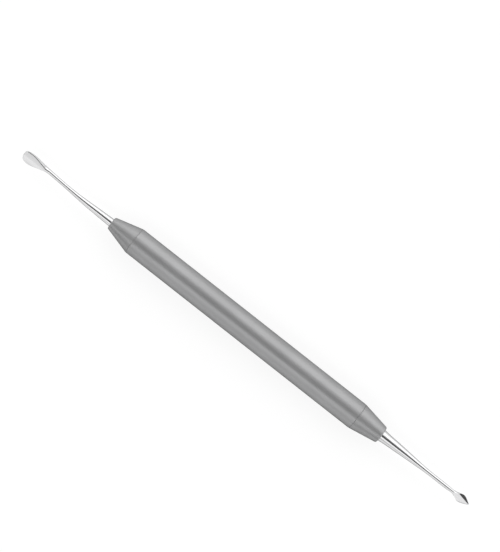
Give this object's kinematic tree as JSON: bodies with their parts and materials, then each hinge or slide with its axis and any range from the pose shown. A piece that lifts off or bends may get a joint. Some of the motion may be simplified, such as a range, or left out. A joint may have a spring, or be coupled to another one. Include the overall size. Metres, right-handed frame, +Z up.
{
  "type": "periosteal elevator",
  "caption": "Double-ended steel periosteal elevator with a hollow round satin handle, a rounded paddle at one end and a small pointed spade at the other.",
  "frame": {"origin": "below the middle of the overall length, on the surface the handle lies on", "axes": "+X along the handle toward the spade end, +Z up away from that surface, +Y across the handle to the left of +X"},
  "size_m": [0.184, 0.0094, 0.0095],
  "materials": {
    "satin_steel": "fine blasted satin",
    "polished_steel": "polished"
  },
  "bodies": {
    "root": {"handle_barrel": "satin_steel", "paddle_cone": "satin_steel", "spade_cone": "satin_steel", "paddle_end": "polished_steel", "spade_end": "polished_steel"}
  },
  "joints": []
}
